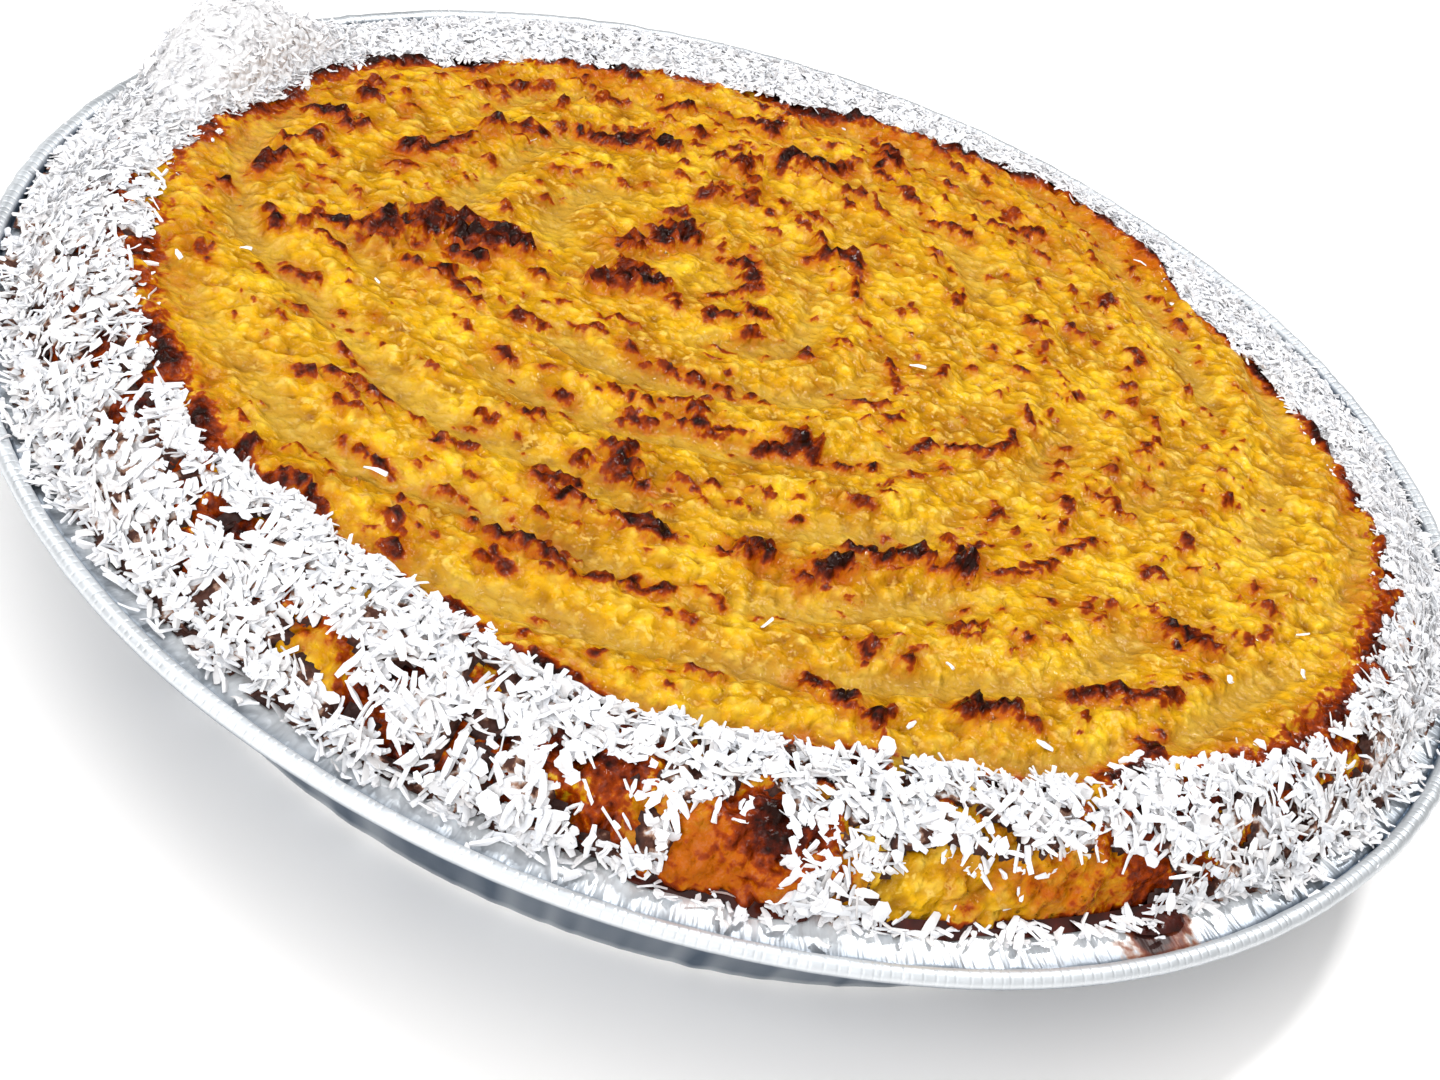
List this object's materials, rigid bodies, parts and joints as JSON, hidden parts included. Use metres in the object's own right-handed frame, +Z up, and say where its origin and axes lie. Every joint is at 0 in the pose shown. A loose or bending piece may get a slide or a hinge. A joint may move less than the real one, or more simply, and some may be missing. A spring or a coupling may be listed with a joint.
{
  "type": "coconut tart",
  "caption": "Round baked coconut tart that fills its own foil tin, with a burnt and ridged custard top and a band of white shredded coconut round its edge.",
  "frame": {"origin": "centre of the underside of the tin's flat base, on the surface it stands on", "axes": "+Z up out of the tart; the picture looks along +Y from in front, with the bare patches of the side towards -Y and the extra heap of coconut towards -X"},
  "size_m": [0.2396, 0.2396, 0.0468],
  "materials": {
    "foil": "pressed foil, bright, with a wrinkled flange and a rolled hem",
    "baked_custard": "baked coconut custard, moist and granular, golden with dark burnt crags",
    "shredded_coconut": "dry desiccated coconut shreds, matt white"
  },
  "bodies": {
    "root": {"foil_tin": "foil", "tart": "baked_custard", "coconut": "shredded_coconut"}
  },
  "joints": []
}
